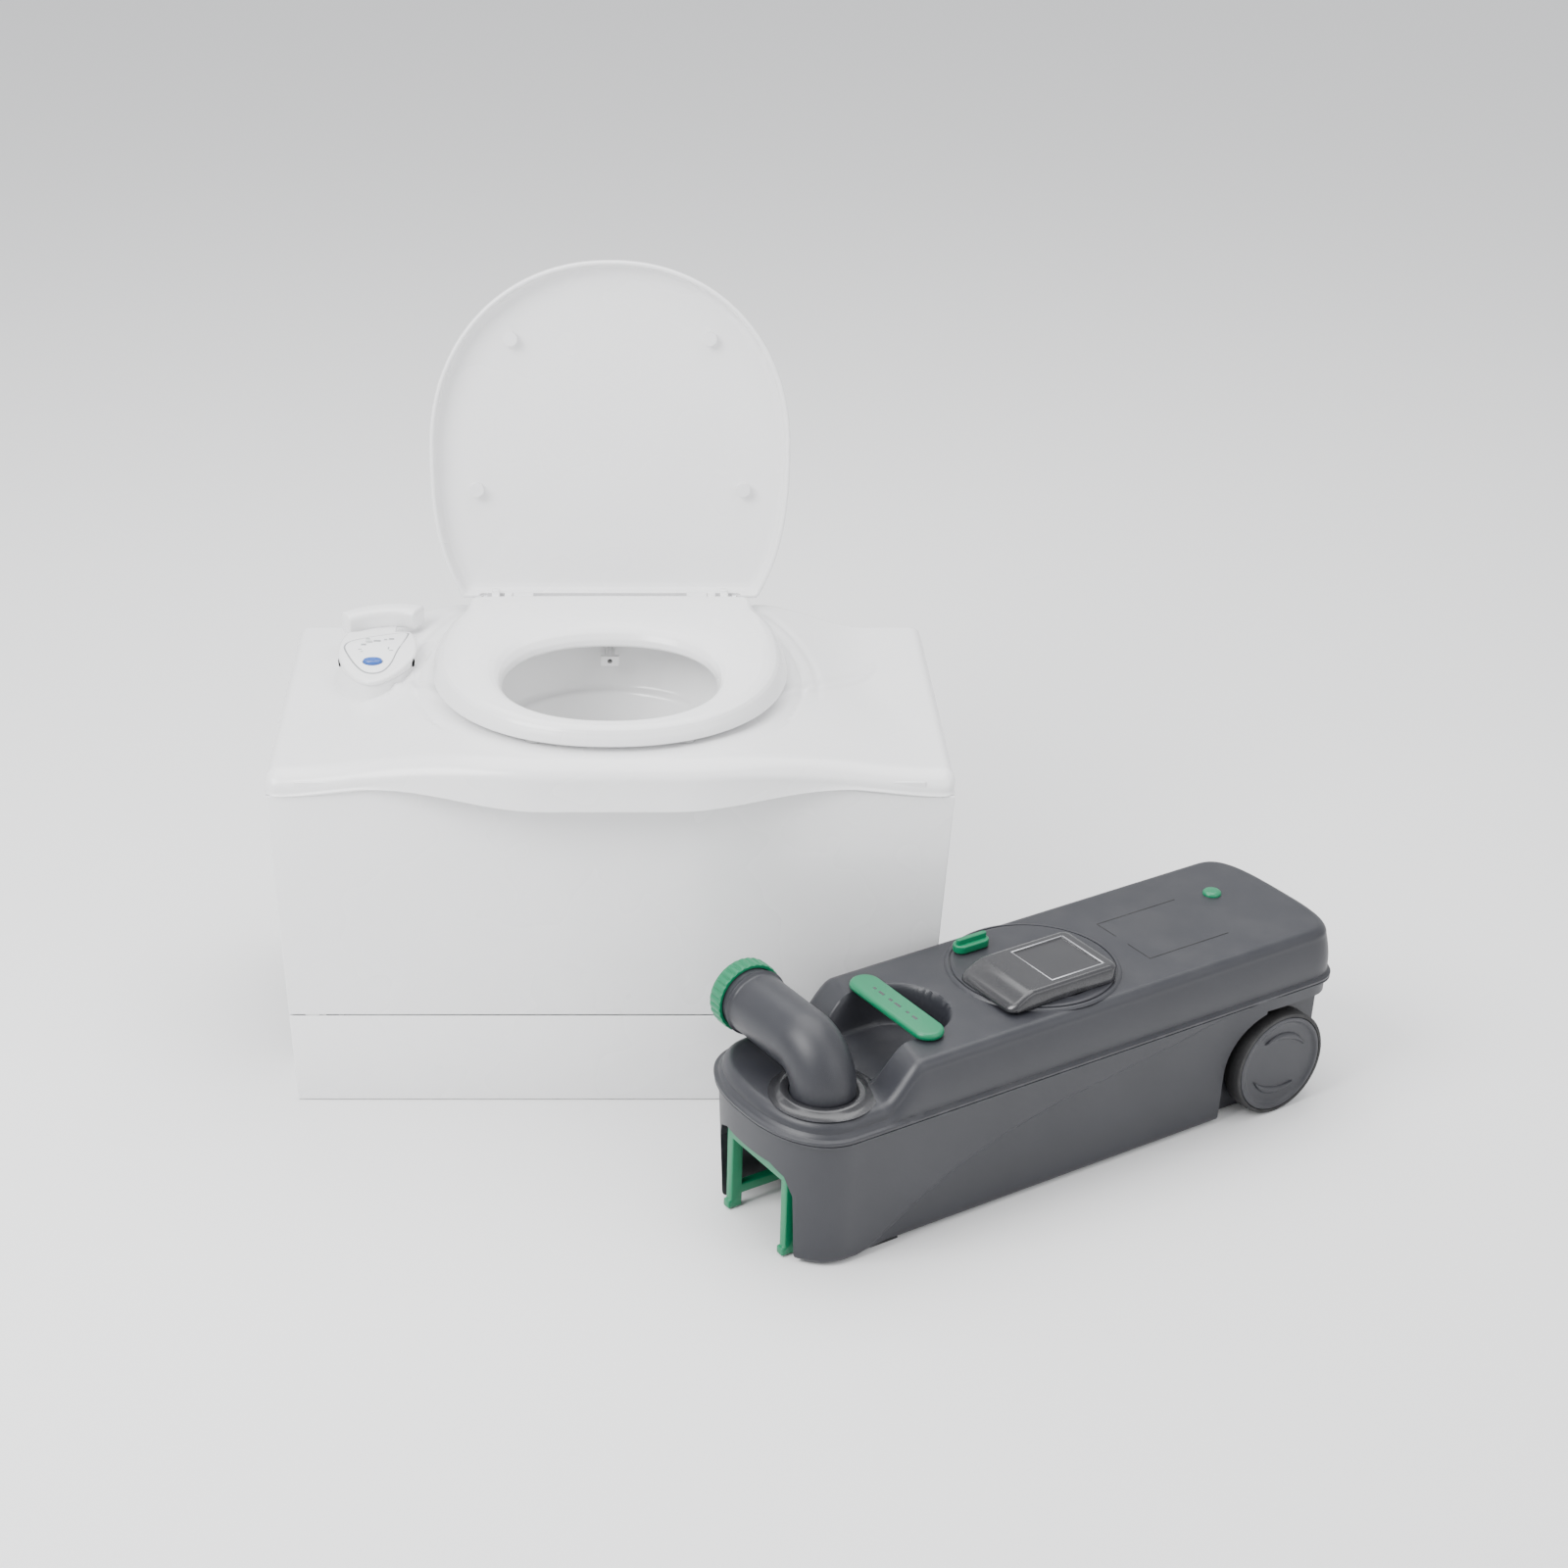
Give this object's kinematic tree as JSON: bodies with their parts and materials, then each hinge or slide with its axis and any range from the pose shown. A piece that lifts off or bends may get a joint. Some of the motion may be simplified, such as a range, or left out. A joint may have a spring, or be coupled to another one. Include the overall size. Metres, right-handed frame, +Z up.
{
  "type": "cassette toilet",
  "caption": "Bench toilet with hinged seat and lid, control console and blade lever, and a wheeled waste cassette with swivel spout.",
  "frame": {"origin": "centre of the floor-screw pattern, on the floor under the middle of the bench", "axes": "+X to the right of the bench and along its longest side, +Y to its back, +Z up"},
  "size_m": [1.029, 0.7211, 0.7215],
  "materials": {
    "white_shell": "glossy white moulding",
    "white_panel": "satin white sheet",
    "white_seat": "glossy white",
    "bowl_white": "glossy off-white",
    "soft_grey": "soft grey",
    "panel_grey": "satin label",
    "button_blue": "glossy blue",
    "lens_clear": "clear lens",
    "tray_grey": "moulded grey",
    "steel_bright": "plated",
    "hinge_white": "satin white",
    "seal_black": "black rubber",
    "hose_white": "reinforced hose",
    "slate_shell": "fine-grained slate grey",
    "slate_gloss": "glossy slate grey",
    "slate_inner": "moulded dark grey",
    "green_trim": "satin green"
  },
  "bodies": {
    "bench": {"top_moulding": "white_shell", "front_panel": "white_panel", "plinth_panel": "white_panel", "back_panel": "white_panel", "left_side_panel": "white_panel", "right_side_panel": "white_panel", "base_tray": "tray_grey", "guide_runners": "tray_grey", "latch_housing": "tray_grey", "bowl": "bowl_white", "outlet_seal": "seal_black", "flush_nozzle": "tray_grey", "flush_hose": "hose_white", "water_valve": "tray_grey", "hinge_brackets": "hinge_white", "hinge_pin": "steel_bright", "console_base": "white_shell", "console_cap": "white_shell", "control_panel": "panel_grey", "level_light": "lens_clear", "drive_bracket": "steel_bright", "control_box": "tray_grey"},
    "seat_part": {"seat": "white_seat", "seat_buffers": "soft_grey"},
    "lid_part": {"lid": "white_seat", "lid_buffers": "soft_grey"},
    "button_part": {"flush_button": "button_blue"},
    "lever_part": {"blade_lever": "white_shell", "lever_shaft": "steel_bright"},
    "link_part": {"link_rod": "tray_grey"},
    "dog_part": {"drive_dog": "tray_grey"},
    "latch_part": {"cassette_latch": "tray_grey"},
    "cassette": {"tank_lower_shell": "slate_shell", "tank_upper_shell": "slate_shell", "mechanism_plate": "slate_shell", "lip_seal": "seal_black", "carry_grip": "green_trim", "spout_socket": "slate_shell", "vent_socket": "slate_inner", "vent_spring": "steel_bright", "float_bracket": "slate_inner", "handle_guides": "slate_inner", "axle_brackets": "slate_inner", "wheel_axle": "steel_bright", "foot_pads": "seal_black"},
    "blade_part": {"valve_blade": "slate_inner"},
    "opener_part": {"blade_opener": "green_trim"},
    "cover_part": {"sliding_cover": "slate_gloss"},
    "spout_part": {"pour_spout": "slate_shell"},
    "cap_part": {"spout_cap": "green_trim", "cap_seal": "seal_black"},
    "vent_part": {"vent_button": "green_trim"},
    "float_part": {"level_float": "slate_inner"},
    "handle_part": {"pull_handle": "green_trim"},
    "left_wheel_part": {"left_wheel": "slate_shell", "left_tyre": "seal_black"},
    "right_wheel_part": {"right_wheel": "slate_shell", "right_tyre": "seal_black"}
  },
  "joints": [
    {"name": "lid_hinge", "type": "hinge", "parent": "bench", "child": "lid_part", "pos_m": [0, 0.15, 0.389], "axis": [-1, 0, 0], "range_deg": [-102, 0]},
    {"name": "seat_hinge", "type": "hinge", "parent": "bench", "child": "seat_part", "pos_m": [0, 0.15, 0.389], "axis": [-1, 0, 0], "range_deg": [0, 95]},
    {"name": "flush_press", "type": "slide", "parent": "bench", "child": "button_part", "axis": [0, 0, -1], "range_m": [0, 0.0016], "stiffness_N_per_m": 400},
    {"name": "blade_lever_turn", "type": "hinge", "parent": "bench", "child": "lever_part", "pos_m": [-0.229, 0.045, 0.37], "axis": [0, 0, 1], "range_deg": [0, 90]},
    {"name": "link_turn", "type": "hinge", "parent": "lever_part", "child": "link_part", "pos_m": [-0.203, 0.067, 0.228], "axis": [0, 0, 1], "range_deg": [-90, 0]},
    {"name": "dog_turn", "type": "hinge", "parent": "bench", "child": "dog_part", "pos_m": [-0.075, 0.07, 0.225], "axis": [0, 0, 1], "range_deg": [0, 90]},
    {"name": "latch_press", "type": "slide", "parent": "bench", "child": "latch_part", "axis": [0, 0, -1], "range_m": [0, 0.004], "stiffness_N_per_m": 300},
    {"name": "cassette_slide", "type": "slide", "parent": "bench", "child": "cassette", "axis": [-0.8572, -0.515, 0], "range_m": [0, 0.25]},
    {"name": "spout_swivel", "type": "hinge", "parent": "cassette", "child": "spout_part", "pos_m": [0.18806, -0.40661, 0.16], "axis": [0, 0, 1], "range_deg": [0, 100]},
    {"name": "spout_cap_off", "type": "slide", "parent": "spout_part", "child": "cap_part", "axis": [-0.515, 0.8572, 0], "range_m": [0, 0.05]},
    {"name": "vent_press", "type": "slide", "parent": "cassette", "child": "vent_part", "axis": [0, 0, -1], "range_m": [0, 0.004], "stiffness_N_per_m": 300},
    {"name": "float_swing", "type": "hinge", "parent": "cassette", "child": "float_part", "pos_m": [0.49709, -0.12876, 0.112], "axis": [-0.515, 0.8572, 0], "range_deg": [0, 30]},
    {"name": "handle_pull", "type": "slide", "parent": "cassette", "child": "handle_part", "axis": [-0.8572, -0.515, 0], "range_m": [0, 0.2]},
    {"name": "cover_slide", "type": "slide", "parent": "cassette", "child": "cover_part", "axis": [0.8572, 0.515, 0], "range_m": [0, 0.1]},
    {"name": "opener_turn", "type": "hinge", "parent": "cassette", "child": "opener_part", "pos_m": [0.33731, -0.21427, 0.19], "axis": [0, 0, 1], "range_deg": [0, 85]},
    {"name": "blade_slide", "type": "slide", "parent": "cassette", "child": "blade_part", "axis": [0.8572, 0.515, 0], "range_m": [0, 0.09]},
    {"name": "left_wheel_spin", "type": "hinge", "parent": "cassette", "child": "left_wheel_part", "pos_m": [0.5545, -0.05344, 0.0535], "axis": [-0.515, 0.8572, 0], "continuous": true},
    {"name": "right_wheel_spin", "type": "hinge", "parent": "cassette", "child": "right_wheel_part", "pos_m": [0.6369, -0.19058, 0.0535], "axis": [-0.515, 0.8572, 0], "continuous": true}
  ],
  "couplings": [
    {"joint": "link_turn", "follows": "blade_lever_turn", "ratio": -1},
    {"joint": "dog_turn", "follows": "blade_lever_turn", "ratio": 1},
    {"joint": "blade_slide", "follows": "opener_turn", "m_per_rad": 0.0605}
  ]
}
